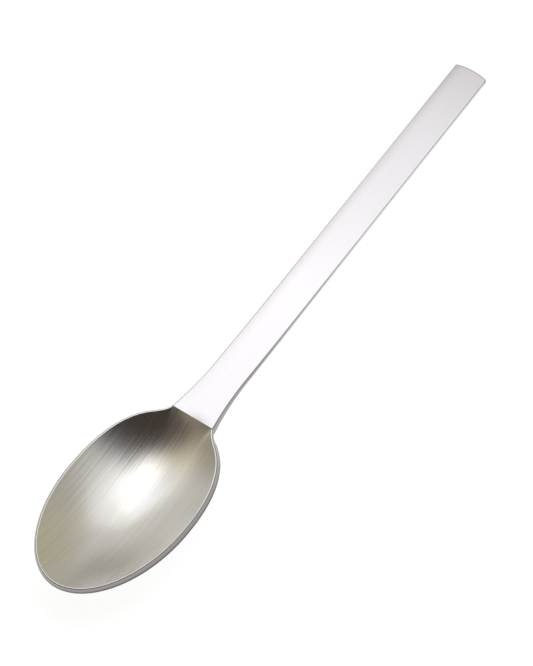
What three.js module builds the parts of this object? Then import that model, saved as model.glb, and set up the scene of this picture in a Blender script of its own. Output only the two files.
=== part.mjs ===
import * as THREE from 'three';

// A coffee spoon in brushed stainless steel, lying as it does on a table.
// The bowl points to -X, the handle to +X, and +Z is up. All sizes are in millimetres.
// It is made of two pieces, a pressed bowl and a flat strip handle. They meet face to face
// in a square butt joint, which shows as the straight line across the neck.
// Both pieces are drawn with the joint plane at x = 0, and the last lines centre the spoon.

// Steel, thickest at the neck and rolled thinner towards both ends
const NECK_THICKNESS = 2.1;
const BOWL_THICKNESS = 1.6;
const BOWL_THINNING = 15; // stretch of bowl that thins from the joint
const END_THICKNESS = 1.1;
const HANDLE_THINNING = 40; // stretch of handle that thins from the joint
const EDGE_BREAK = 0.25; // narrow flat that takes the sharpness off each edge

// Handle
const HANDLE_LENGTH = 92.5; // from the joint to the middle of the end
const HANDLE_WIDTH = 6.7;
const END_ARCH = 0.5; // the corners of the end stand this far behind its middle
const HANDLE_FALL = 3.3; // the straight line of the handle falls this far over its length
const NECK_RISE = 1.0; // the joint lies this far above that straight line
const NECK_RISE_LENGTH = 32; // stretch of handle that bends up to the joint
const JOINT_WIDTH = 8.6;
const FLARE_LENGTH = 12; // stretch of handle that widens towards the joint
const UNDER_FLARE = 0.25; // the underside of the joint stands out this far past its upper side

// Bowl, measured on the upper edge of its rim
const BOWL_WIDTH = 23.5;
const BOWL_CENTRE = 19.3; // from the joint to the deepest point
const TIP_REACH = 21.7; // from the deepest point to the tip
const TIP_POWER = 2; // a plain ellipse
const SHOULDER_REACH = 18.6; // long half axis of the rounder ellipse on the neck side
const SHOULDER_POWER = 2.4; // above 2 the shoulders are fuller than those of an ellipse
const SHOULDER_ANGLE = 30 * (Math.PI / 180); // where the fillet at the neck leaves the shoulder
const NECK_TURN = 24 * (Math.PI / 180); // the rim leaves the joint at this angle to the spoon's axis
const RIM_RISE = 3.95; // the tip of the rim stands this far above the joint
const RIM_CURVE = 0.65; // above 0 the rim runs straighter to the tip
const FLANK_CURVE = 0.25; // above 0 the wall runs straighter to the rim
const NECK_CURVE = -0.4; // below 0 the wall drops more steeply from the rim
const NECK_SPREAD = 4; // power that keeps the steeper wall near the neck
const NOSE_REACH = 0.9; // the inside surface bulges this far past the shoulders towards the joint
const NOSE_SPREAD = 30; // power that keeps the bulge near the neck
const NOSE_FADE = 6; // power with which the bulge fades out below the rim
const CORNER_FADE = 20; // power with which the corners of the joint fade out below the rim
const JOINT_BLEND = 2.5; // length in which the bowl's wall turns into the flat neck
const FLANK_LEAN = 0.7; // share of the wall's slope that the cut through the sheet follows
const TIP_LEAN = 0.2; // the same at the tip, where the edge is cut more upright
const TIP_SPREAD = 4; // power that keeps the upright edge near the tip

// How finely the curves are cut up
const NECK_STEPS = 6;
const FILLET_STEPS = 6;
const SHOULDER_STEPS = 14;
const TIP_STEPS = 18;
const BOWL_RINGS = 10;
const HANDLE_NECK_STEPS = 24;
const HANDLE_ACROSS_STEPS = 6;

const HALF_TURN = Math.PI;
const QUARTER_TURN = Math.PI / 2;
const BOWL_HALF_WIDTH = BOWL_WIDTH / 2;
const HANDLE_HALF_WIDTH = HANDLE_WIDTH / 2;
const JOINT_HALF_WIDTH = JOINT_WIDTH / 2;

function handleThickness(distance) {
  const thinning = Math.max(0, 1 - distance / HANDLE_THINNING);
  return THREE.MathUtils.lerp(END_THICKNESS, NECK_THICKNESS, thinning ** 2);
}

function bowlThickness(x) {
  const thinning = Math.max(0, 1 + x / BOWL_THINNING);
  return THREE.MathUtils.lerp(BOWL_THICKNESS, NECK_THICKNESS, thinning ** 2);
}

// The bowl stands on its deepest point and the handle on its far end
const INSIDE_FLOOR = BOWL_THICKNESS;

// Height of the handle's upper face at a distance from the joint
function handleTop(distance) {
  const straight = END_THICKNESS + HANDLE_FALL * (1 - distance / HANDLE_LENGTH);
  const bend = Math.max(0, 1 - distance / NECK_RISE_LENGTH);
  return straight + NECK_RISE * bend ** 2;
}

// Share of the neck's flare that is left at a distance from the joint
function flareShare(distance) {
  return Math.max(0, 1 - distance / FLARE_LENGTH) ** 2;
}

function handleHalfWidth(distance) {
  return THREE.MathUtils.lerp(HANDLE_HALF_WIDTH, JOINT_HALF_WIDTH, flareShare(distance));
}

const JOINT_TOP = handleTop(0);

// A climb from 0 to 1, level at its start
function climb(share, curve) {
  return (share ** 2 * (1 + curve)) / (1 + curve * share ** 2);
}

// Height of the rim, which leaves the joint level and rises to the tip
function rimHeight(x) {
  return JOINT_TOP + RIM_RISE * climb(-x / (BOWL_CENTRE + TIP_REACH), RIM_CURVE);
}

function signedPower(value, power) {
  return Math.sign(value) * Math.abs(value) ** power;
}

// Length and fullness of the half of the bowl that the sign of a coordinate picks
function halfOfBowl(side) {
  return side > 0 ? [SHOULDER_REACH, SHOULDER_POWER] : [TIP_REACH, TIP_POWER];
}

// Plan of the rim: half an ellipse at the tip, a shorter and fuller half on the neck side
function ellipsePoint(angle) {
  const [reach, power] = halfOfBowl(Math.cos(angle));
  const along = reach * signedPower(Math.cos(angle), 2 / power);
  const across = BOWL_HALF_WIDTH * signedPower(Math.sin(angle), 2 / power);
  return new THREE.Vector2(along - BOWL_CENTRE, across);
}

// The angle at which the rim's ellipse lies in the direction of a point
function ellipseAngle(point) {
  const [reach, power] = halfOfBowl(point.x + BOWL_CENTRE);
  const along = signedPower((point.x + BOWL_CENTRE) / reach, power / 2);
  const across = signedPower(point.y / BOWL_HALF_WIDTH, power / 2);
  return Math.atan2(across, along);
}

// Plan of the fillet at the neck: it leaves the joint at an angle and meets the shoulder on its tangent
function neckFillet() {
  const joint = new THREE.Vector2(0, JOINT_HALF_WIDTH);
  const shoulder = ellipsePoint(SHOULDER_ANGLE);
  const neckSlope = Math.tan(NECK_TURN);
  const along = (shoulder.x + BOWL_CENTRE) / SHOULDER_REACH;
  const across = shoulder.y / BOWL_HALF_WIDTH;
  const aspect = BOWL_HALF_WIDTH / SHOULDER_REACH;
  const shoulderSlope = aspect * (along / across) ** (SHOULDER_POWER - 1);
  const gap = shoulder.y + shoulderSlope * shoulder.x - joint.y;
  const back = gap / (shoulderSlope - neckSlope);
  const corner = new THREE.Vector2(back, joint.y - neckSlope * back);
  return new THREE.QuadraticBezierCurve(joint, corner, shoulder);
}

// Values from first to last in equal steps, without the last one
function stepsBetween(first, last, steps) {
  return Array.from({ length: steps }, (_, i) => THREE.MathUtils.lerp(first, last, i / steps));
}

// Rings of points joined into one closed skin, from a point at one end to a point at the other
function loft(firstPoint, rings, lastPoint) {
  const points = [firstPoint, ...rings.flat(), lastPoint];
  const count = rings[0].length;
  const last = points.length - 1;
  const index = [];
  for (let i = 0; i < count; i += 1) {
    const next = (i + 1) % count;
    index.push(0, 1 + i, 1 + next);
    index.push(last - count + i, last, last - count + next);
    for (let r = 0; r + 1 < rings.length; r += 1) {
      const here = 1 + r * count;
      const after = here + count;
      index.push(here + i, after + i, after + next);
      index.push(here + i, after + next, here + next);
    }
  }
  const geometry = new THREE.BufferGeometry();
  const positions = points.flatMap((point) => point.toArray());
  geometry.setAttribute('position', new THREE.Float32BufferAttribute(positions, 3));
  geometry.setIndex(index);
  geometry.computeVertexNormals();
  return geometry;
}

// Bowl: the rim's upper edge, then the inside surface, then the same surface one sheet further out

// Plan of the left half of the rim, from the joint to just before the tip
function leftRim() {
  const fillet = neckFillet();
  const neck = stepsBetween(0, 1, FILLET_STEPS).map((t) => fillet.getPoint(t));
  const shoulder = stepsBetween(SHOULDER_ANGLE, QUARTER_TURN, SHOULDER_STEPS).map(ellipsePoint);
  const tip = stepsBetween(QUARTER_TURN, HALF_TURN, TIP_STEPS).map(ellipsePoint);
  return [...neck, ...shoulder, ...tip];
}

// The whole outline, anticlockwise: over the joint, round by the left to the tip, and back by the right
function bowlOutline() {
  const left = leftRim();
  const tip = new THREE.Vector2(-BOWL_CENTRE - TIP_REACH, 0);
  const right = left.map((point) => new THREE.Vector2(point.x, -point.y)).reverse();
  const sides = stepsBetween(-JOINT_HALF_WIDTH, JOINT_HALF_WIDTH, NECK_STEPS).slice(1);
  const joint = sides.map((y) => new THREE.Vector2(0, y));
  return [...joint, ...left, tip, ...right];
}

const OUTLINE = bowlOutline();

function outlinePoint(i) {
  return OUTLINE[(i + OUTLINE.length) % OUTLINE.length];
}

// A point of the inside surface: share is 0 at the deepest point and 1 on the rim.
// Below the rim the neck's outline fades into a smooth bulge, and that into the plain ellipse.
function insidePoint(i, share) {
  const rim = outlinePoint(i);
  const angle = ellipseAngle(rim);
  const plain = ellipsePoint(angle);
  const towardsNeck = (1 + Math.cos(angle)) / 2;
  const nose = new THREE.Vector2(NOSE_REACH * towardsNeck ** NOSE_SPREAD, 0);
  const plan = new THREE.Vector2(-BOWL_CENTRE, 0).lerp(plain, share);
  plan.addScaledVector(nose, share ** NOSE_FADE);
  plan.addScaledVector(rim.clone().sub(plain).sub(nose), share ** CORNER_FADE);
  const curve = THREE.MathUtils.lerp(FLANK_CURVE, NECK_CURVE, towardsNeck ** NECK_SPREAD);
  const height = THREE.MathUtils.lerp(INSIDE_FLOOR, rimHeight(rim.x), climb(share, curve));
  return new THREE.Vector3(plan.x, plan.y, height);
}

// How far the sheet has turned from the flat neck into the bowl's wall, from 0 to 1
function wallShare(point) {
  return THREE.MathUtils.smoothstep(-point.x, 0, JOINT_BLEND);
}

// Direction through the sheet at the neck, upwards: its underside is wider than its upper side
function neckDirection(point) {
  const lean = (UNDER_FLARE / NECK_THICKNESS) * (point.y / JOINT_HALF_WIDTH);
  return new THREE.Vector3(0, -lean * (1 - wallShare(point)), 1);
}

// Direction through the sheet, upwards out of the inside surface.
// It leans less than the wall does, because pressing stretches the wall thinner.
function sheetNormal(i, share) {
  const step = 0.01;
  const along = insidePoint(i + 1, share).sub(insidePoint(i - 1, share));
  const outwards = insidePoint(i, share + step).sub(insidePoint(i, share - step));
  const normal = outwards.cross(along).normalize();
  const towardsTip = (1 - Math.cos(ellipseAngle(outlinePoint(i)))) / 2;
  const lean = THREE.MathUtils.lerp(FLANK_LEAN, TIP_LEAN, towardsTip ** TIP_SPREAD);
  const point = insidePoint(i, share);
  return neckDirection(point).lerp(normal, lean * wallShare(point)).normalize();
}

// Direction along the sheet, square to the rim and out of the bowl
function rimOutwards(i) {
  const edge = insidePoint(i, 1);
  if (Math.abs(edge.y) < JOINT_HALF_WIDTH && edge.x === 0) {
    return new THREE.Vector3();
  }
  const along = insidePoint(i + 1, 1).sub(insidePoint(i - 1, 1));
  const outwards = along.cross(sheetNormal(i, 1)).normalize();
  const sideways = new THREE.Vector3(0, Math.sign(edge.y), 0);
  return sideways.lerp(outwards, wallShare(edge)).normalize();
}

// The point straight through the sheet from a point of the inside surface
function outsidePoint(i, share) {
  const inside = insidePoint(i, share);
  return inside.addScaledVector(sheetNormal(i, share), -bowlThickness(inside.x));
}

// A ring of the rim: so far towards the inside surface from a face, and so far in from the edge
function rimRing(face, up, inwards) {
  return OUTLINE.map((_, i) => {
    const point = face(i, 1).addScaledVector(sheetNormal(i, 1), up);
    return point.addScaledVector(rimOutwards(i), -inwards);
  });
}

function bowlGeometry() {
  const shares = stepsBetween(0, 1, BOWL_RINGS).slice(1);
  const inside = shares.map((share) => OUTLINE.map((_, i) => insidePoint(i, share)));
  const outside = shares.map((share) => OUTLINE.map((_, i) => outsidePoint(i, share)));
  const rim = [
    rimRing(insidePoint, 0, EDGE_BREAK),
    rimRing(insidePoint, -EDGE_BREAK, 0),
    rimRing(outsidePoint, EDGE_BREAK, 0),
    rimRing(outsidePoint, 0, EDGE_BREAK),
  ];
  const floor = new THREE.Vector3(-BOWL_CENTRE, 0, INSIDE_FLOOR);
  const foot = new THREE.Vector3(-BOWL_CENTRE, 0, 0);
  return loft(floor, [...inside, ...rim, ...outside.reverse()], foot);
}

// Handle: flat strip sections with every edge broken

// One ring of the strip, clockwise seen from the far end: drawn in by inset all round,
// bowed so that its sides stand behind its middle by arch, and wider below where the neck flares
function handleRing(distance, inset, arch) {
  const half = handleHalfWidth(distance) - inset;
  const flat = half - EDGE_BREAK;
  const thickness = handleThickness(distance);
  const lowest = thickness - inset;
  const across = [...stepsBetween(-flat, flat, HANDLE_ACROSS_STEPS), flat];
  const section = [
    ...across.map((y) => [y, inset]),
    [half, inset + EDGE_BREAK],
    [half, lowest - EDGE_BREAK],
    ...across.map((y) => [-y, lowest]),
    [-half, lowest - EDGE_BREAK],
    [-half, inset + EDGE_BREAK],
  ];
  const widening = (UNDER_FLARE * flareShare(distance)) / (half * thickness);
  return section.map(([y, down]) => {
    const x = distance - arch * (y / half) ** 2;
    return new THREE.Vector3(x, y * (1 + widening * down), handleTop(x) - down);
  });
}

// The middle of the strip's thickness
function handleMiddle(distance) {
  return new THREE.Vector3(distance, 0, handleTop(distance) - handleThickness(distance) / 2);
}

function handleGeometry() {
  const neckLength = Math.max(FLARE_LENGTH, NECK_RISE_LENGTH, HANDLE_THINNING);
  const neck = [...stepsBetween(0, neckLength, HANDLE_NECK_STEPS), neckLength];
  const rings = neck.map((distance) => handleRing(distance, 0, 0));
  rings.push(handleRing(HANDLE_LENGTH - EDGE_BREAK, 0, END_ARCH));
  rings.push(handleRing(HANDLE_LENGTH, EDGE_BREAK, END_ARCH));
  return loft(handleMiddle(0), rings, handleMiddle(HANDLE_LENGTH));
}

function steelPiece(name, geometry, color, roughness) {
  const material = new THREE.MeshStandardMaterial({ color, roughness, metalness: 1 });
  const mesh = new THREE.Mesh(geometry, material);
  mesh.name = name;
  return mesh;
}

const bowl = steelPiece('bowl', bowlGeometry(), 0xb3ad9c, 0.3);
const handle = steelPiece('handle', handleGeometry(), 0xd6d2d3, 0.4);

// The origin lies on the table, halfway along the spoon
const spoon = new THREE.Group();
spoon.name = 'coffee_spoon';
spoon.add(bowl, handle);
bowl.geometry.computeBoundingBox();
spoon.position.x = -(bowl.geometry.boundingBox.min.x + HANDLE_LENGTH) / 2;

export default spoon;
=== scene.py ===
"""A brushed steel coffee spoon lying on a white table, seen from above its bowl."""

import math

import bpy
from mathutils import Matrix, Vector


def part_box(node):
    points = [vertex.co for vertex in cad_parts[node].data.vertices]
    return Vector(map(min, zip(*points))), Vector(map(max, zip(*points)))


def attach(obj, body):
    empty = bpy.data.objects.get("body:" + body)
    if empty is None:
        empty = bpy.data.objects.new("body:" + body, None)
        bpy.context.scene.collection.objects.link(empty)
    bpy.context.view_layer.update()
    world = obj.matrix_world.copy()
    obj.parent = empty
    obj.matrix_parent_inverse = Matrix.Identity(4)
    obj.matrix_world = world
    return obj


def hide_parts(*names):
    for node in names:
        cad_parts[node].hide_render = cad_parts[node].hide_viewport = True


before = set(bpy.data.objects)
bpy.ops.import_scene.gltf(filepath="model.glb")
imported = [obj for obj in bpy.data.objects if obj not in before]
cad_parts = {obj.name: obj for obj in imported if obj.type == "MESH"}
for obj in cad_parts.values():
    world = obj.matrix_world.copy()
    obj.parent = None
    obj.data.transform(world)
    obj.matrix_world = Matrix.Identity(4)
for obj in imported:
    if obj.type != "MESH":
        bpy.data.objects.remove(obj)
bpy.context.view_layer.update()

MM = 0.001

# Sizes of the spoon, in metres, as its solids have them
NECK_THICKNESS = 2.1 * MM
BOWL_THICKNESS = 1.6 * MM
BOWL_THINNING = 15 * MM
END_THICKNESS = 1.1 * MM
HANDLE_THINNING = 40 * MM
HANDLE_LENGTH = 92.5 * MM
HANDLE_WIDTH = 6.7 * MM
END_ARCH = 0.5 * MM
HANDLE_FALL = 3.3 * MM
NECK_RISE = 1.0 * MM
NECK_RISE_LENGTH = 32 * MM
JOINT_WIDTH = 8.6 * MM
JOINT_BLEND = 2.5 * MM
FLARE_LENGTH = 12 * MM
UNDER_FLARE = 0.25 * MM
BOWL_WIDTH = 23.5 * MM
BOWL_CENTRE = 19.3 * MM
TIP_REACH = 21.7 * MM
SHOULDER_REACH = 18.6 * MM
RIM_RISE = 3.95 * MM
NOSE_REACH = 0.9 * MM

# How its curves run: angles, powers and shares, as the solids have them
SHOULDER_ANGLE = math.radians(30)
NECK_TURN = math.radians(24)
SHOULDER_POWER = 2.4
RIM_CURVE = 0.65
FLANK_CURVE = 0.25
NECK_CURVE = -0.4
NECK_SPREAD = 4
NOSE_SPREAD = 30
NOSE_FADE = 6
CORNER_FADE = 20
FLANK_LEAN = 0.7
TIP_LEAN = 0.2
TIP_SPREAD = 4

# How finely the skins are divided, and how the sharp edges are rounded
NECK_CELLS = 12
FILLET_CELLS = 16
RIM_CELLS = 124
SHOULDER_CELL = NECK_CELLS + FILLET_CELLS
LAST_CELL = SHOULDER_CELL + RIM_CELLS
BOWL_RINGS = 36
HANDLE_CELLS = 120
HANDLE_ACROSS = 12
EDGE_ROUND = 0.32 * MM
EDGE_SEGMENTS = 3
EDGE_ANGLE = math.radians(50)
WELD = 0.002 * MM

# The joint plane, which the frame gives
JOINT_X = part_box("handle")[0].x

# The photograph's camera, in the spoon's frame
IMAGE_WIDTH = 533
IMAGE_HEIGHT = 666
VIEW_ELEVATION = math.radians(59.44)
VIEW_TURN = math.radians(33.86)
VIEW_DISTANCE = 586.4 * MM
FOCAL_PIXELS = 3300
AIM_FROM_JOINT = 22.5 * MM
AIM_HEIGHT = 3.86 * MM
AIM_RIGHT = 0.37 * MM
AIM_DOWN = 0.67 * MM
SENSOR_WIDTH = 36
NEAREST_SEEN = 0.01
FARTHEST_SEEN = 20

# Names that a mesh and its material share
BRUSH_MAP = "brush"
CUT_MARK = "cut"

# Brushing: so many streaks to the metre along the spoon, across it and through it
GRAIN_SCALE = (60, 1700, 0)
GRAIN_DETAIL = 4
ANISOTROPY = 0.3
QUARTER_TURN = 0.25

# Levels of the grain at which the steel is darkest and lightest
GRAIN_DARK = 0.3
GRAIN_LIGHT = 0.7

# The bowl's brushed steel, and the level of the mark of its cut edge at which the edge's painted shade is
# in full colour; the edge is painted darker to stand for the darker surroundings it would mirror
BOWL_DARK = (0.6, 0.585, 0.55)
BOWL_LIGHT = (0.64, 0.625, 0.59)
BOWL_ROUGHNESS = 0.23
BOWL_UNEVENNESS = 0.15
BOWL_GRAIN_DEPTH = 0.026 * MM
BOWL_EDGE_PAINTED_SHADE = (0.34, 0.325, 0.325)
BOWL_EDGE_SHADE_START = 0.5

# The handle's satin steel, in the same order
HANDLE_DARK = (0.785, 0.772, 0.793)
HANDLE_LIGHT = (0.805, 0.792, 0.813)
HANDLE_ROUGHNESS = 0.29
HANDLE_UNEVENNESS = 0.04
HANDLE_GRAIN_DEPTH = 0.0001 * MM
# Painted shade on the handle's cut edge, standing for the darker table it would mirror
HANDLE_EDGE_PAINTED_SHADE = (0.3, 0.29, 0.29)
HANDLE_EDGE_SHADE_START = 0.25

# Painted light and shade on the sheet's cut edge, from its upper line at 0.5 to its lower one at 1: a
# painted highlight just below the upper line and painted shadow on the lower one
BOWL_EDGE_PAINTED_LIGHT_AND_SHADE = ((0.5, 0.65), (0.62, 0.95), (0.78, 0.85), (0.9, 0.3))
HANDLE_EDGE_PAINTED_LIGHT_AND_SHADE = ((0.5, 0.8), (0.62, 1), (0.78, 1), (0.9, 0.7))

# How much of the painted shade on the cut edge is left along the handle: painted lighter along its
# middle, in full at its two ends
WHITE = (1, 1, 1)
EDGE_PAINTED_SHADE_ALONG = ((0.15, 1), (0.55, 0.3), (0.985, 0.3), (0.99, 1))

# Painted shade on the handle: beside the seam, along its left margin, towards its end and on the line of
# its end
HANDLE_PAINTED_SHADE_COLOUR = (0.5, 0.45, 0.45)
SEAM_REACH = 2.2 * MM
SEAM_MIDDLE = -1.2 * MM
SEAM_SPREAD = 3 * MM
SEAM_STRENGTH = 0.8
MARGIN_START = 1.0 * MM
MARGIN_STRENGTH = 0.6
MARGIN_RUN_IN = 30 * MM
END_SHADE_START = 66 * MM
END_STRENGTH = 0.42
END_LINE_OUTER = 0.25 * MM
END_LINE_INNER = 0.5 * MM
END_LINE_STRENGTH = 0.6

# The table, which glows white on the rays that the camera follows
TABLE_REACH = 3.0
TABLE_COLOUR = (0.3, 0.3, 0.31)
TABLE_GLOW = 0.86
WHITE_RAYS = ("Is Camera Ray", "Is Glossy Ray", "Is Transmission Ray")

# The studio around the spoon, each patch laid over those before it: name, direction, angles of
# its edge and of its core in degrees, colour
WALL_COLOUR = (0.53, 0.505, 0.455)
WALL_PATCHES = (
    ("low left wall", (0.3, 0.95, 0.0), 32, 7, (0.74, 0.725, 0.67)),
    ("dim left wall", (-0.02, 0.93, 0.36), 21, 5, (0.48, 0.45, 0.36)),
    ("pale handle side", (0.6, 0.02, 0.8), 54, 10, (0.87, 0.86, 0.85)),
    ("dim right wall", (0.68, -0.66, 0.3), 22, 4, (0.52, 0.5, 0.45)),
    ("pale left wall", (0.47, 0.71, 0.52), 30, 4, (0.9, 0.885, 0.86)),
    ("left streak", (0.32, 0.7, 0.64), 14, 3, (1.06, 1.06, 1.05)),
    ("cream field", (0.0, 0.45, 0.89), 29, 10, (1.2, 1.12, 0.9)),
    ("cool field", (0.28, 0.46, 0.84), 16, 4, (1.1, 1.14, 1.25)),
    ("right field", (0.42, -0.48, 0.77), 20, 4, (1.1, 1.12, 1.12)),
    ("outer halo", (0.46, -0.2, 0.86), 26, 8, (1.27, 1.28, 1.3)),
    ("inner halo", (0.32, -0.36, 0.88), 18, 6, (1.42, 1.45, 1.5)),
    ("right end of the bright field", (0.22, -0.25, 0.94), 13, 3, (2.0, 2.0, 2.05)),
    ("middle of the bright field", (0.2, -0.03, 0.98), 13, 3, (2.1, 2.1, 2.13)),
    ("left end of the bright field", (0.19, 0.18, 0.965), 13, 3, (2.1, 2.1, 2.1)),
    ("brown wall past the tip", (-0.7, 0.27, 0.66), 57, 23, (0.37, 0.325, 0.25)),
    ("dark overhead", (-0.27, 0.02, 0.96), 24, 12, (0.11, 0.09, 0.075)),
    ("dark right overhead", (-0.14, -0.4, 0.9), 31, 17, (0.05, 0.035, 0.03)),
    ("dark right side", (0.12, -0.72, 0.68), 21, 6, (0.03, 0.032, 0.04)),
    ("warm wall past the handle", (0.96, -0.25, 0.08), 40, 8, (0.6, 0.565, 0.43)),
)

# Name, centre from the joint, size both ways in metres, radiance
SOFT_BOXES = (
    ("main soft box", (0.15, 0.02, 0.5), 0.2, 0.45, 0.25),
    ("second soft box", (0.135, 0.13, 0.25), 0.155, 0.22, 0.38),
)

# The colour sockets of a mix node, whose names its other sockets have too
MIX_FIRST = 6
MIX_SECOND = 7
MIX_RESULT = 2


class Rule:
    """A number at every point of a node tree, so that a shape's rule reads as plain arithmetic."""

    def __init__(self, tree, socket):
        self.tree = tree
        self.socket = socket

    def math(self, operation, *others):
        node = self.tree.nodes.new("ShaderNodeMath")
        node.operation = operation
        feed(node, self.tree, (self, *others))
        return Rule(self.tree, node.outputs[0])

    def __add__(self, other):
        return self.math("ADD", other)

    def __sub__(self, other):
        return self.math("SUBTRACT", other)

    def __mul__(self, other):
        return self.math("MULTIPLY", other)

    def __truediv__(self, other):
        return self.math("DIVIDE", other)

    def __pow__(self, other):
        return self.math("POWER", other)

    def above(self, other):
        return self.math("MAXIMUM", other)

    def below(self, other):
        return self.math("MINIMUM", other)

    def cos(self):
        return self.math("COSINE")

    def sin(self):
        return self.math("SINE")

    def angle_to(self, across):
        return self.math("ARCTAN2", across)

    def share_between(self, low, high):
        """0 at low, 1 at high, held at both ends."""
        return ((self - low) / (high - low)).above(0).below(1)


def feed(node, tree, values):
    """Links each rule to the node's next input, and sets each plain number on it."""
    for place, value in zip(node.inputs, values):
        if isinstance(value, Rule):
            tree.links.new(value.socket, place)
        else:
            place.default_value = value


def number(tree, value):
    """A rule with the same value at every point."""
    node = tree.nodes.new("ShaderNodeValue")
    node.outputs[0].default_value = value
    return Rule(tree, node.outputs[0])


def mix(first, second, share):
    """The first at share 0, the second at share 1."""
    return first + (first * -1 + second) * share


def new_tree(name, sizes):
    """A geometry tree with one named input for each size, and its sizes as rules."""
    tree = bpy.data.node_groups.new(name, "GeometryNodeTree")
    tree.interface.new_socket("Geometry", in_out="OUTPUT", socket_type="NodeSocketGeometry")
    for title, value in sizes.items():
        socket = tree.interface.new_socket(title, in_out="INPUT", socket_type="NodeSocketFloat")
        socket.default_value = value
    source = tree.nodes.new("NodeGroupInput")
    rules = {title: Rule(tree, source.outputs[title]) for title in sizes}
    return tree, rules


def add_node(tree, kind, links=None, values=None, **settings):
    """A node with its settings, its inputs linked to sockets or set to values."""
    node = tree.nodes.new(kind)
    for name, value in settings.items():
        setattr(node, name, value)
    for name, value in (values or {}).items():
        node.inputs[name].default_value = value
    for name, value in (links or {}).items():
        socket = value.socket if isinstance(value, Rule) else value
        tree.links.new(socket, node.inputs[name])
    return node


def split(tree, socket):
    """The three numbers of a vector, as rules."""
    parts = add_node(tree, "ShaderNodeSeparateXYZ", {"Vector": socket})
    return [Rule(tree, part) for part in parts.outputs]


def position_rules(tree):
    return split(tree, add_node(tree, "GeometryNodeInputPosition").outputs[0])


def vector(tree, x, y, z):
    node = tree.nodes.new("ShaderNodeCombineXYZ")
    feed(node, tree, (x, y, z))
    return node.outputs[0]


def unit_grid(tree, cells_x, cells_y):
    """A flat grid from 0 to 1 each way: its mesh and the two rules that run over it."""
    sizes = {"Size X": 1, "Size Y": 1, "Vertices X": cells_x + 1, "Vertices Y": cells_y + 1}
    grid = add_node(tree, "GeometryNodeMeshGrid", values=sizes)
    x, y, _ = position_rules(tree)
    return grid.outputs["Mesh"], x + 0.5, y + 0.5


def set_position(tree, mesh, place):
    node = add_node(tree, "GeometryNodeSetPosition", {"Geometry": mesh, "Position": place})
    return node.outputs["Geometry"]


def join(tree, *parts):
    node = tree.nodes.new("GeometryNodeJoinGeometry")
    for part in parts:
        tree.links.new(part, node.inputs["Geometry"])
    return node.outputs["Geometry"]


def weld(tree, mesh):
    node = add_node(tree, "GeometryNodeMergeByDistance", {"Geometry": mesh}, {"Distance": WELD})
    return node.outputs["Geometry"]


def store(tree, mesh, name, value, data_type, domain):
    links = {"Geometry": mesh, "Value": value}
    settings = {"data_type": data_type, "domain": domain}
    node = add_node(tree, "GeometryNodeStoreNamedAttribute", links, {"Name": name}, **settings)
    return node.outputs["Geometry"]


def stored(tree, name, data_type):
    kind = "GeometryNodeInputNamedAttribute"
    return add_node(tree, kind, values={"Name": name}, data_type=data_type).outputs["Attribute"]


def flip(tree, mesh):
    return add_node(tree, "GeometryNodeFlipFaces", {"Mesh": mesh}).outputs["Mesh"]


def thicken(tree, skin, thickness, neck_lean, wall):
    """A sheet under the skin, which also marks how far down its cut edge each corner lies.

    Wall is 0 where the sheet is cut as at the neck, by its own lean, and 1 where it is cut
    square to the skin.
    """
    normal = add_node(tree, "GeometryNodeInputNormal")
    x, y, z = split(tree, normal.outputs[0])
    lean = vector(tree, x * wall, mix(neck_lean * -1, y, wall), (z - 1) * wall + 1)
    unit = add_node(tree, "ShaderNodeVectorMath", {0: lean}, operation="NORMALIZE")
    down = {0: unit.outputs[0], "Scale": thickness * -1}
    through = add_node(tree, "ShaderNodeVectorMath", down, operation="SCALE")
    sheet = store(tree, skin, "through", through.outputs[0], "FLOAT_VECTOR", "POINT")
    in_place = {"Offset Scale": 0, "Individual": False}
    lower = add_node(tree, "GeometryNodeExtrudeMesh", {"Mesh": sheet}, in_place)
    moved = add_node(
        tree,
        "GeometryNodeSetPosition",
        {
            "Geometry": lower.outputs["Mesh"],
            "Selection": lower.outputs["Top"],
            "Offset": stored(tree, "through", "FLOAT_VECTOR"),
        },
    )
    shell = store(tree, moved.outputs["Geometry"], "low", lower.outputs["Top"], "FLOAT", "POINT")
    low = Rule(tree, stored(tree, "low", "FLOAT"))
    depth = Rule(tree, lower.outputs["Side"]) * (low + 1) / 2
    shell = store(tree, shell, CUT_MARK, depth, "FLOAT", "CORNER")
    return weld(tree, join(tree, sheet, flip(tree, shell)))


def mark_edges(tree, solid):
    """Marks every sharp edge for rounding, apart from those of the joint face, which stay sharp."""
    turn = Rule(tree, add_node(tree, "GeometryNodeInputMeshEdgeAngle").outputs["Unsigned Angle"])
    x, _, _ = position_rules(tree)
    sharp = turn.math("GREATER_THAN", EDGE_ANGLE)
    off_joint = (x - JOINT_X).math("ABSOLUTE").math("GREATER_THAN", WELD)
    marked = store(tree, solid, "bevel_weight_edge", sharp * off_joint, "FLOAT", "EDGE")
    return store(tree, marked, "sharp_edge", sharp * (off_joint * -1 + 1), "BOOLEAN", "EDGE")


def finish_tree(tree, solid, material):
    smooth = add_node(tree, "GeometryNodeSetShadeSmooth", {"Geometry": solid})
    real = add_node(tree, "GeometryNodeRealizeInstances", {"Geometry": smooth.outputs["Geometry"]})
    links = {"Geometry": real.outputs["Geometry"]}
    painted = add_node(tree, "GeometryNodeSetMaterial", links, {"Material": material})
    add_node(tree, "NodeGroupOutput", {"Geometry": painted.outputs["Geometry"]})


def fade_out(distance, length):
    """1 at no distance, and 0 with a smooth run-out from that length on."""
    return ((distance / length) * -1 + 1).above(0) ** 2


def climb(share, curve):
    """From 0 to 1, level at its start."""
    return share * share * (curve + 1) / (curve * share * share + 1)


def handle_top(distance, size):
    """Height of the handle's upper face at a distance from the joint."""
    left = (distance / size["Handle length"]) * -1 + 1
    straight = size["End thickness"] + size["Handle fall"] * left
    return straight + size["Neck rise"] * fade_out(distance, size["Neck rise length"])


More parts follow.
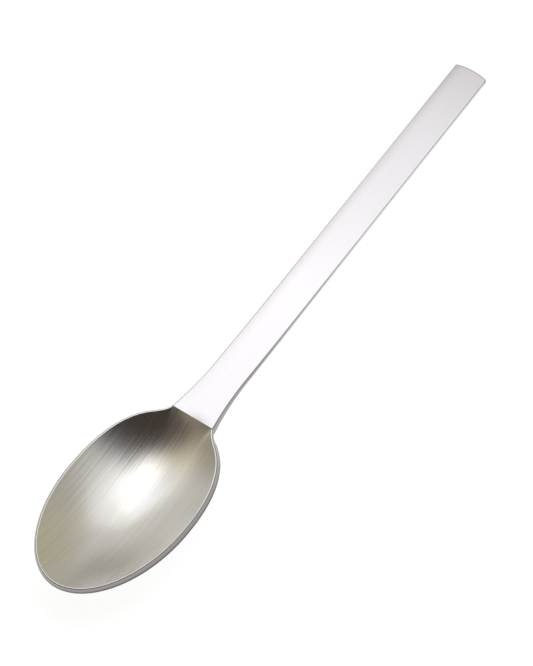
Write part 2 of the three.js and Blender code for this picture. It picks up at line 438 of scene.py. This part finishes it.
SHARED_SIZES = {
    "Neck thickness": NECK_THICKNESS,
    "End thickness": END_THICKNESS,
    "Handle length": HANDLE_LENGTH,
    "Handle fall": HANDLE_FALL,
    "Neck rise": NECK_RISE,
    "Neck rise length": NECK_RISE_LENGTH,
    "Joint half width": JOINT_WIDTH / 2,
    "Under flare": UNDER_FLARE,
}

HANDLE_SIZES = {
    **SHARED_SIZES,
    "Handle half width": HANDLE_WIDTH / 2,
    "Flare length": FLARE_LENGTH,
    "Thinning length": HANDLE_THINNING,
    "End arch": END_ARCH,
}

BOWL_SIZES = {
    **SHARED_SIZES,
    "Bowl thickness": BOWL_THICKNESS,
    "Thinning length": BOWL_THINNING,
    "Bowl half width": BOWL_WIDTH / 2,
    "Bowl centre": BOWL_CENTRE,
    "Tip reach": TIP_REACH,
    "Shoulder reach": SHOULDER_REACH,
    "Shoulder power": SHOULDER_POWER,
    "Shoulder angle": SHOULDER_ANGLE,
    "Neck turn": NECK_TURN,
    "Nose reach": NOSE_REACH,
    "Rim rise": RIM_RISE,
    "Rim curve": RIM_CURVE,
    "Flank curve": FLANK_CURVE,
    "Neck curve": NECK_CURVE,
    "Joint blend": JOINT_BLEND,
    "Flank lean": FLANK_LEAN,
    "Tip lean": TIP_LEAN,
}


def handle_tree(material):
    """The upper face from its rule, and the strip under it."""
    tree, size = new_tree("handle strip", HANDLE_SIZES)
    grid, along, across = unit_grid(tree, HANDLE_CELLS, HANDLE_ACROSS)
    side = across * 2 - 1
    x = (size["Handle length"] - size["End arch"] * side * side) * along
    flare = fade_out(x, size["Flare length"])
    y = mix(size["Handle half width"], size["Joint half width"], flare) * side
    skin = set_position(tree, grid, vector(tree, x + JOINT_X, y, handle_top(x, size)))

    # The strip's thickness and the lean of its sides, from the place on the skin
    here_x, here_y, _ = position_rules(tree)
    distance = here_x - JOINT_X
    thinning = fade_out(distance, size["Thinning length"])
    thickness = mix(size["End thickness"], size["Neck thickness"], thinning)
    flare = fade_out(distance, size["Flare length"])
    half = mix(size["Handle half width"], size["Joint half width"], flare)
    neck_lean = size["Under flare"] * flare * here_y / (half * thickness)
    solid = thicken(tree, skin, thickness, neck_lean, number(tree, 0))
    finish_tree(tree, mark_edges(tree, solid), material)
    return tree


def rim_ellipse(angle, size):
    """Plan of the rim at an angle of its left half: fuller than an ellipse on the neck side."""
    power = (size["Shoulder power"] / 2) ** -1
    on_neck_side = angle.cos().math("GREATER_THAN", 0)
    forward = size["Shoulder reach"] * angle.cos().above(0) ** power
    back = size["Tip reach"] * angle.cos().below(0)
    across = mix(angle.sin(), angle.sin().above(0) ** power, on_neck_side)
    return forward + back - size["Bowl centre"], size["Bowl half width"] * across


def rim_angle(x, y, size):
    """The angle at which the rim's ellipse lies in the direction of a point."""
    power = size["Shoulder power"] / 2
    level = x + size["Bowl centre"]
    on_neck_side = level.math("GREATER_THAN", 0)
    along = (level / size["Shoulder reach"]).above(0) ** power + level.below(0) / size["Tip reach"]
    share = y / size["Bowl half width"]
    across = mix(share, share.above(0) ** power, on_neck_side)
    return across.angle_to(along)


def neck_fillet(t, size):
    """Plan of the neck's fillet, which leaves the joint at an angle and meets the shoulder's tangent."""
    half = size["Joint half width"]
    shoulder_x, shoulder_y = rim_ellipse(size["Shoulder angle"], size)
    neck_slope = size["Neck turn"].math("TANGENT")
    along = (shoulder_x + size["Bowl centre"]) / size["Shoulder reach"]
    across = shoulder_y / size["Bowl half width"]
    aspect = size["Bowl half width"] / size["Shoulder reach"]
    shoulder_slope = aspect * (along / across) ** (size["Shoulder power"] - 1)
    corner_x = (shoulder_y + shoulder_slope * shoulder_x - half) / (shoulder_slope - neck_slope)
    corner_y = half - neck_slope * corner_x
    rest = t * -1 + 1
    x = corner_x * t * rest * 2 + shoulder_x * t * t
    y = half * rest * rest + corner_y * t * rest * 2 + shoulder_y * t * t
    return x, y


def rim_plan(cell, size):
    """Plan of the rim's left half: along the joint, out along the fillet, round to the tip."""
    over_joint = cell.share_between(0, NECK_CELLS)
    over_fillet = cell.share_between(NECK_CELLS, SHOULDER_CELL)
    over_rim = cell.share_between(SHOULDER_CELL, LAST_CELL)
    half = size["Joint half width"]
    fillet_x, fillet_y = neck_fillet(over_fillet, size)
    shoulder_x, shoulder_y = rim_ellipse(size["Shoulder angle"], size)
    round_x, round_y = rim_ellipse(mix(size["Shoulder angle"], math.pi, over_rim), size)
    x = fillet_x + round_x - shoulder_x
    y = half * over_joint + fillet_y - half + round_y - shoulder_y
    return x, y


def bowl_inside(rim_x, rim_y, angle, share, size):
    """A point of the inside, at a share of the way from the bowl's centre out to its rim.

    The neck's outline fades into a smooth bulge, that into the plain ellipse, and the wall
    climbs to the rim.
    """
    centre = size["Bowl centre"]
    plain_x, plain_y = rim_ellipse(angle, size)
    towards_neck = angle.cos() * 0.5 + 0.5
    nose = size["Nose reach"] * towards_neck ** NOSE_SPREAD
    bulge = nose * share ** NOSE_FADE
    fade = share ** CORNER_FADE
    x = mix(centre * -1, plain_x, share) + bulge + (rim_x - plain_x - nose) * fade
    y = plain_y * share + (rim_y - plain_y) * fade
    curve = mix(size["Flank curve"], size["Neck curve"], towards_neck ** NECK_SPREAD)
    rim_run = rim_x / (centre + size["Tip reach"])
    joint_z = handle_top(number(share.tree, 0), size)
    rim_z = joint_z + size["Rim rise"] * climb(rim_run, size["Rim curve"])
    z = mix(size["Bowl thickness"], rim_z, climb(share, curve))
    return x, y, z


def bowl_tree(material):
    """Half of the inside surface from its rule, its mirror image, and the sheet under both."""
    tree, size = new_tree("bowl shell", BOWL_SIZES)
    grid, around, share = unit_grid(tree, LAST_CELL, BOWL_RINGS)
    rim_x, rim_y = rim_plan(around * LAST_CELL, size)
    angle = rim_angle(rim_x, rim_y, size)
    x, y, z = bowl_inside(rim_x, rim_y, angle, share, size)

    # How far the cut through the sheet follows the wall's slope
    towards_tip = (angle.cos() * -0.5 + 0.5) ** TIP_SPREAD
    lean = mix(size["Flank lean"], size["Tip lean"], towards_tip)
    grid = store(tree, grid, "lean", lean, "FLOAT", "POINT")

    left = set_position(tree, grid, vector(tree, x + JOINT_X, y, z))
    mirror = add_node(tree, "GeometryNodeTransform", {"Geometry": left}, {"Scale": (1, -1, 1)})
    whole = weld(tree, join(tree, flip(tree, left), mirror.outputs["Geometry"]))

    # The sheet's thickness and the lean of its cut edge, from the place on the skin
    here_x, here_y, _ = position_rules(tree)
    from_joint = here_x * -1 + JOINT_X
    run = from_joint.share_between(0, size["Joint blend"])
    wall = run * run * (run * -2 + 3)
    neck_slant = size["Under flare"] / size["Neck thickness"]
    neck_lean = neck_slant * here_y / size["Joint half width"] * (wall * -1 + 1)
    thinning = fade_out(from_joint, size["Thinning length"])
    thickness = mix(size["Bowl thickness"], size["Neck thickness"], thinning)
    wall_lean = wall * Rule(tree, stored(tree, "lean", "FLOAT"))
    solid = thicken(tree, whole, thickness, neck_lean, wall_lean)
    finish_tree(tree, mark_edges(tree, solid), material)
    return tree


def solid_piece(name, tree):
    """The tree's solid with its marked edges rounded, as a plain mesh at the origin."""
    maker = bpy.data.objects.new(name + "_maker", bpy.data.meshes.new(name + "_maker"))
    bpy.context.scene.collection.objects.link(maker)
    shape = maker.modifiers.new("shape", "NODES")
    shape.node_group = tree
    rounding = maker.modifiers.new("rounding", "BEVEL")
    rounding.limit_method = "WEIGHT"
    rounding.width = EDGE_ROUND
    rounding.segments = EDGE_SEGMENTS
    rounding.harden_normals = True
    graph = bpy.context.evaluated_depsgraph_get()
    mesh = bpy.data.meshes.new_from_object(maker.evaluated_get(graph), depsgraph=graph)
    bpy.data.objects.remove(maker)
    mesh.name = name
    piece = bpy.data.objects.new(name, mesh)
    bpy.context.scene.collection.objects.link(piece)
    add_brush_map(mesh)
    return piece


def add_brush_map(mesh):
    """A flat map seen from above, so that the brushing runs along the spoon."""
    layer = mesh.uv_layers.new(name=BRUSH_MAP)
    for loop in mesh.loops:
        place = mesh.vertices[loop.vertex_index].co
        layer.data[loop.index].uv = (place.x / HANDLE_LENGTH, place.y / HANDLE_LENGTH)


def blend(tree, share, first, second):
    """A colour between two, each a socket or a plain colour."""
    node = add_node(tree, "ShaderNodeMix", {"Factor": share}, data_type="RGBA")
    for place, colour in ((MIX_FIRST, first), (MIX_SECOND, second)):
        if isinstance(colour, tuple):
            node.inputs[place].default_value = (*colour, 1)
        else:
            tree.links.new(colour, node.inputs[place])
    return node.outputs[MIX_RESULT]


def ramp(tree, share, *stops):
    """A colour that runs through its stops as the share rises."""
    node = add_node(tree, "ShaderNodeValToRGB", {"Fac": share})
    elements = node.color_ramp.elements
    while len(elements) < len(stops):
        elements.new(1)
    for element, (position, colour) in zip(elements, stops):
        element.position = position
        element.color = (*colour, 1)
    return node.outputs["Color"]


def shaded(tree, share, colour, shades):
    """A colour that is lighter and darker along the share, as its shades say."""
    stops = [(position, tuple(value * level for value in colour)) for position, level in shades]
    return ramp(tree, share, *stops)


def brushed_steel(name, roughness, unevenness, depth):
    """Steel with its grain along the spoon: the material without its colour, and the grain."""
    material = bpy.data.materials.new(name)
    material.use_nodes = True
    tree = material.node_tree
    shader = tree.nodes["Principled BSDF"]
    shader.inputs["Metallic"].default_value = 1
    shader.inputs["Anisotropic"].default_value = ANISOTROPY
    shader.inputs["Anisotropic Rotation"].default_value = QUARTER_TURN
    place = add_node(tree, "ShaderNodeTexCoord").outputs["Object"]
    stretch = add_node(tree, "ShaderNodeMapping", {"Vector": place}, {"Scale": GRAIN_SCALE})
    fineness = {"Scale": 1, "Detail": GRAIN_DETAIL}
    noise = add_node(tree, "ShaderNodeTexNoise", {"Vector": stretch.outputs[0]}, fineness)
    grain = noise.outputs["Fac"]
    limits = {"To Min": roughness * (1 - unevenness), "To Max": roughness * (1 + unevenness)}
    spread = add_node(tree, "ShaderNodeMapRange", {"Value": grain}, limits)
    tree.links.new(spread.outputs["Result"], shader.inputs["Roughness"])
    bump = add_node(tree, "ShaderNodeBump", {"Height": grain}, {"Strength": 1, "Distance": depth})
    tree.links.new(bump.outputs["Normal"], shader.inputs["Normal"])
    lay = add_node(tree, "ShaderNodeTangent", direction_type="UV_MAP", uv_map=BRUSH_MAP)
    tree.links.new(lay.outputs["Tangent"], shader.inputs["Tangent"])
    return material, grain


def cut_edge_painted_shade(tree, colour, start, shades):
    """How far a point is on the sheet's cut edge, as a rule, and the edge's colour with its painted light
    and shade.
    """
    cut = add_node(tree, "ShaderNodeAttribute", attribute_name=CUT_MARK).outputs["Fac"]
    on_edge = add_node(tree, "ShaderNodeMapRange", {"Value": cut}, {"From Max": start})
    return Rule(tree, on_edge.outputs["Result"]), shaded(tree, cut, colour, shades)


def bowl_steel():
    """Brushed steel, with painted shade that makes the cut edge of the sheet darker."""
    name = "brushed bowl steel"
    material, grain = brushed_steel(name, BOWL_ROUGHNESS, BOWL_UNEVENNESS, BOWL_GRAIN_DEPTH)
    tree = material.node_tree
    tint = ramp(tree, grain, (GRAIN_DARK, BOWL_DARK), (GRAIN_LIGHT, BOWL_LIGHT))
    on_edge, edge = cut_edge_painted_shade(tree, BOWL_EDGE_PAINTED_SHADE, BOWL_EDGE_SHADE_START, BOWL_EDGE_PAINTED_LIGHT_AND_SHADE)
    shader = tree.nodes["Principled BSDF"]
    # Painted shade and painted highlight on the cut edge, laid over the grain's tint
    tree.links.new(blend(tree, on_edge, tint, edge), shader.inputs["Base Color"])
    return material


def handle_steel():
    """Fine satin steel with painted shade in places, and a cut edge with painted shade that is lighter
    along the middle of its length.
    """
    name = "satin handle steel"
    material, grain = brushed_steel(name, HANDLE_ROUGHNESS, HANDLE_UNEVENNESS, HANDLE_GRAIN_DEPTH)
    tree = material.node_tree
    x, y, _ = split(tree, add_node(tree, "ShaderNodeTexCoord").outputs["Object"])
    distance = x - JOINT_X
    tint = ramp(tree, grain, (GRAIN_DARK, HANDLE_DARK), (GRAIN_LIGHT, HANDLE_LIGHT))
    # Painted shade beside the seam, along the left margin and towards the far end, laid over the grain's
    # tint
    tint = blend(tree, handle_painted_shade(distance, y), tint, HANDLE_PAINTED_SHADE_COLOUR)
    on_edge, edge = cut_edge_painted_shade(tree, HANDLE_EDGE_PAINTED_SHADE, HANDLE_EDGE_SHADE_START, HANDLE_EDGE_PAINTED_LIGHT_AND_SHADE)
    edge_painted_shade_share = Rule(tree, shaded(tree, distance / HANDLE_LENGTH, WHITE, EDGE_PAINTED_SHADE_ALONG))
    shader = tree.nodes["Principled BSDF"]
    # Painted shade on the cut edge, lighter along the handle's middle, laid over the tint
    tree.links.new(blend(tree, on_edge * edge_painted_shade_share, tint, edge), shader.inputs["Base Color"])
    return material


def handle_painted_shade(x, y):
    """How much painted shade the handle has: beside the seam, on the line of its far end, along its left
    margin and towards its far end.
    """
    along = (x / SEAM_REACH).above(0).below(1) * -1 + 1
    across = ((y - SEAM_MIDDLE) / SEAM_SPREAD).math("ABSOLUTE").below(1) * -1 + 1
    margin = y.share_between(MARGIN_START, HANDLE_WIDTH / 2) ** 2 * x.share_between(0, MARGIN_RUN_IN)
    end = x.share_between(END_SHADE_START, HANDLE_LENGTH) ** 2
    arched = x + (y / (HANDLE_WIDTH / 2)) ** 2 * END_ARCH
    end_line = arched.share_between(HANDLE_LENGTH - END_LINE_INNER, HANDLE_LENGTH - END_LINE_OUTER)
    # Painted shade beside the seam and on the line of the far end
    seam_and_end_line_shade = along * along * across * SEAM_STRENGTH + end_line * END_LINE_STRENGTH
    return (seam_and_end_line_shade + margin * MARGIN_STRENGTH + end * END_STRENGTH).below(1)


def white_table():
    """A table that is white to the camera and in the steel, and that keeps the spoon's shadow."""
    mesh = bpy.data.meshes.new("table")
    reach = TABLE_REACH
    corners = [(-reach, -reach, 0), (reach, -reach, 0), (reach, reach, 0), (-reach, reach, 0)]
    mesh.from_pydata(corners, [], [(0, 1, 2, 3)])
    floor = bpy.data.objects.new("table", mesh)
    bpy.context.scene.collection.objects.link(floor)
    material = bpy.data.materials.new("white table")
    material.use_nodes = True
    tree = material.node_tree
    tree.nodes.clear()
    path = add_node(tree, "ShaderNodeLightPath")
    camera, glossy, transmission = [Rule(tree, path.outputs[ray]) for ray in WHITE_RAYS]
    seen = camera.above(glossy).above(transmission)
    diffuse = add_node(tree, "ShaderNodeBsdfDiffuse", values={"Color": (*TABLE_COLOUR, 1)})
    glow = add_node(tree, "ShaderNodeEmission", {"Strength": seen * TABLE_GLOW})
    both = add_node(tree, "ShaderNodeAddShader", {0: diffuse.outputs[0], 1: glow.outputs[0]})
    add_node(tree, "ShaderNodeOutputMaterial", {"Surface": both.outputs[0]})
    mesh.materials.append(material)


def photo_camera():
    flat = math.cos(VIEW_ELEVATION)
    towards = Vector((-flat * math.cos(VIEW_TURN), -flat * math.sin(VIEW_TURN), math.sin(VIEW_ELEVATION)))
    aim = Vector((JOINT_X + AIM_FROM_JOINT, 0, AIM_HEIGHT))
    data = bpy.data.cameras.new("camera")
    data.sensor_width = SENSOR_WIDTH
    data.lens = FOCAL_PIXELS * SENSOR_WIDTH / max(IMAGE_WIDTH, IMAGE_HEIGHT)
    data.clip_start = NEAREST_SEEN
    data.clip_end = FARTHEST_SEEN
    camera = bpy.data.objects.new("camera", data)
    turn = (-towards).to_track_quat("-Z", "Y")
    camera.rotation_mode = "QUATERNION"
    camera.rotation_quaternion = turn
    camera.location = aim + towards * VIEW_DISTANCE + turn @ Vector((AIM_RIGHT, -AIM_DOWN, 0))
    bpy.context.scene.collection.objects.link(camera)
    bpy.context.scene.camera = camera


def world_patch(tree, name, direction, edge, core):
    """1 within the core angle of a direction, 0 beyond the edge angle."""
    towards = add_node(tree, "ShaderNodeTexCoord").outputs["Generated"]
    middle = {1: Vector(direction).normalized()}
    near = add_node(tree, "ShaderNodeVectorMath", {0: towards}, middle, operation="DOT_PRODUCT")
    share = add_node(
        tree,
        "ShaderNodeMapRange",
        {"Value": near.outputs["Value"]},
        {"From Min": math.cos(math.radians(edge)), "From Max": math.cos(math.radians(core))},
        interpolation_type="SMOOTHSTEP",
        label=name,
    )
    return share.outputs["Result"]


def soft_box(name, centre, size_x, size_y, radiance):
    """A lamp that lies flat over the spoon, its centre measured from the joint."""
    lamp = bpy.data.lights.new(name, "AREA")
    lamp.shape = "RECTANGLE"
    lamp.size = size_x
    lamp.size_y = size_y
    lamp.energy = radiance * math.pi * size_x * size_y
    box = bpy.data.objects.new(name, lamp)
    box.location = Vector((JOINT_X, 0, 0)) + Vector(centre)
    box.visible_camera = False
    bpy.context.scene.collection.objects.link(box)


def studio():
    """Warm grey walls with a bright field overhead and a dark one beside it, and two weak soft boxes."""
    world = bpy.data.worlds.new("studio")
    world.use_nodes = True
    bpy.context.scene.world = world
    tree = world.node_tree
    colour = WALL_COLOUR
    for name, direction, edge, core, shade in WALL_PATCHES:
        colour = blend(tree, world_patch(tree, name, direction, edge, core), colour, shade)
    tree.links.new(colour, tree.nodes["Background"].inputs["Color"])
    for box in SOFT_BOXES:
        soft_box(*box)


def main():
    photo_camera()
    studio()
    white_table()
    bowl = solid_piece("bowl_shell", bowl_tree(bowl_steel()))
    handle = solid_piece("handle_strip", handle_tree(handle_steel()))
    for piece, node, slot in ((bowl, "bowl", "bowl_steel"), (handle, "handle", "handle_steel")):
        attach(piece, "root")
        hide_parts(node)
    bpy.context.scene.view_settings.view_transform = "Standard"


main()
